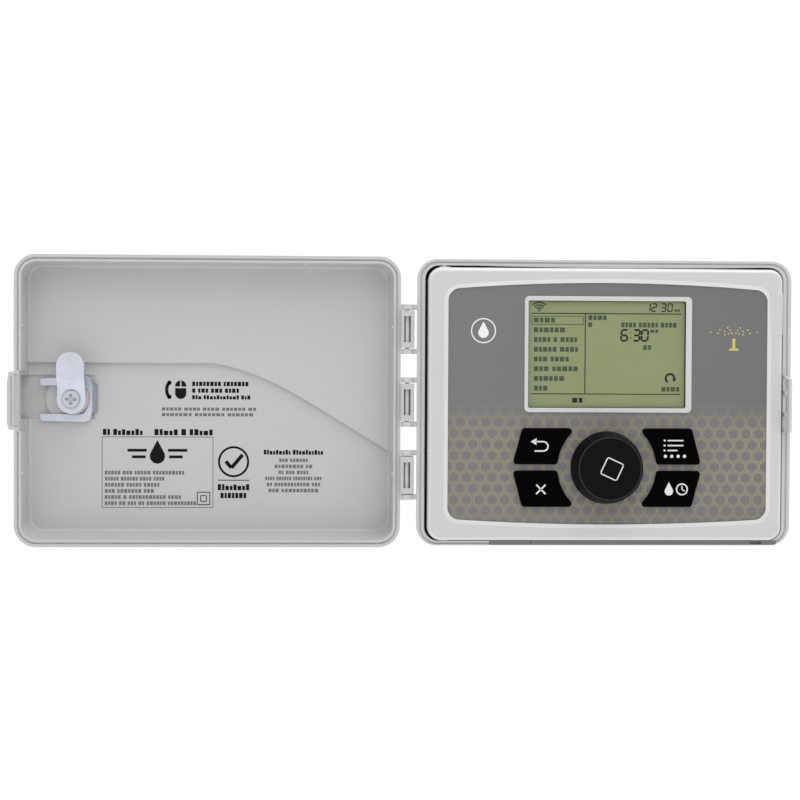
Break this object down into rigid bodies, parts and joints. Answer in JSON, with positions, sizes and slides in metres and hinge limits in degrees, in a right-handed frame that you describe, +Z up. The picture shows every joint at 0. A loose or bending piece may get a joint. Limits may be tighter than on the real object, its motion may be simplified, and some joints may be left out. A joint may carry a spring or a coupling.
{
  "type": "irrigation controller",
  "caption": "Wall-mounted irrigation timer box with a lockable hinged door, a swing-out control panel, a display, a push-and-turn dial and four keys.",
  "frame": {"origin": "centre of the housing's back face, where it sits on the wall", "axes": "+X to the right seen from the front, +Y into the wall, +Z up"},
  "size_m": [0.5395, 0.0955, 0.2002],
  "materials": {
    "housing_plastic": "fine satin moulded, UV-stable",
    "door_plastic": "fine satin moulded, UV-stable",
    "panel_plastic": "smooth satin",
    "faceplate_print": "printed film",
    "bezel_plastic": "satin",
    "window_clear": "clear",
    "lcd_panel": "reflective display glass",
    "tray_plastic": "satin",
    "circuit_board": "solder mask",
    "chip_black": "epoxy",
    "tin_can": "tinned",
    "silicone": "soft",
    "dial_black": "satin to gloss",
    "button_black": "gloss",
    "screw_steel": "zinc plated",
    "lock_zinc": "bright zinc plated",
    "lock_barrel_zinc": "die-cast, painted",
    "shaft_steel": "turned",
    "terminal_green": "moulded",
    "header_black": "moulded",
    "core_steel": "varnished laminations",
    "coil_tape": "wound tape",
    "line_block": "moulded",
    "brass_screw": "turned",
    "fuse_glass": "clear with metal ends",
    "grommet_rubber": "matt",
    "seal_grey": "matt"
  },
  "bodies": {
    "root": {"rear_housing": "housing_plastic", "hinge_pins": "shaft_steel", "conduit_plug": "housing_plastic", "cable_grommet": "grommet_rubber", "drip_strip": "seal_grey", "station_board": "circuit_board", "station_board_screws": "screw_steel", "station_terminals": "terminal_green", "terminal_screws": "screw_steel", "station_switches": "chip_black", "ribbon_header": "header_black", "transformer_core": "core_steel", "transformer_coil": "coil_tape", "transformer_frame": "screw_steel", "transformer_cover": "tray_plastic", "transformer_screws": "screw_steel", "line_terminals": "line_block", "line_screws": "brass_screw", "line_block_screws": "screw_steel", "fuse_holder": "header_black", "fuse": "fuse_glass"},
    "panel": {"panel_frame": "panel_plastic", "faceplate": "faceplate_print", "lcd_bezel": "bezel_plastic", "lcd_window": "window_clear", "lcd_glass": "lcd_panel", "lcd_backlight": "tray_plastic", "main_board": "circuit_board", "main_board_screws": "screw_steel", "main_chip": "chip_black", "wifi_module": "tin_can", "panel_header": "header_black", "button_pad": "silicone", "dial_encoder": "tin_can", "battery_holder": "header_black", "coin_cell": "tin_can", "panel_back": "tray_plastic", "panel_back_screws": "screw_steel"},
    "dial_push": {"press_plunger": "header_black"},
    "dial": {"encoder_shaft": "shaft_steel", "dial_knob": "dial_black", "dial_cap": "dial_black"},
    "button_back": {"button_back": "button_black"},
    "button_clear": {"button_clear": "button_black"},
    "button_program": {"button_program": "button_black"},
    "button_rain": {"button_rain": "button_black"},
    "door": {"door_shell": "door_plastic", "lock_barrel": "lock_barrel_zinc", "lock_clip": "lock_zinc"},
    "lock": {"lock_plug": "lock_zinc", "lock_cam": "lock_zinc", "cam_screw": "lock_zinc"}
  },
  "joints": [
    {"name": "door_hinge", "type": "hinge", "parent": "root", "child": "door", "pos_m": [-0.1366, -0.072, 0], "axis": [0, 0, -1], "range_deg": [-180, 0]},
    {"name": "panel_hinge", "type": "hinge", "parent": "root", "child": "panel", "pos_m": [-0.111, -0.0702, 0], "axis": [0, 0, -1], "range_deg": [0, 100]},
    {"name": "lock_turn", "type": "hinge", "parent": "door", "child": "lock", "pos_m": [-0.3683, -0.0572, 0.0008], "axis": [0, 1, 0], "range_deg": [-90, 0]},
    {"name": "dial_press", "type": "slide", "parent": "panel", "child": "dial_push", "axis": [0, 1, 0], "range_m": [0, 0.0015], "stiffness_N_per_m": 600},
    {"name": "dial_turn", "type": "hinge", "parent": "dial_push", "child": "dial", "pos_m": [0.0005, -0.0795, -0.0442], "axis": [0, 1, 0], "continuous": true},
    {"name": "button_back_press", "type": "slide", "parent": "panel", "child": "button_back", "axis": [0, 1, 0], "range_m": [0, 0.0012], "stiffness_N_per_m": 500},
    {"name": "button_clear_press", "type": "slide", "parent": "panel", "child": "button_clear", "axis": [0, 1, 0], "range_m": [0, 0.0012], "stiffness_N_per_m": 500},
    {"name": "button_program_press", "type": "slide", "parent": "panel", "child": "button_program", "axis": [0, 1, 0], "range_m": [0, 0.0012], "stiffness_N_per_m": 500},
    {"name": "button_rain_press", "type": "slide", "parent": "panel", "child": "button_rain", "axis": [0, 1, 0], "range_m": [0, 0.0012], "stiffness_N_per_m": 500}
  ]
}
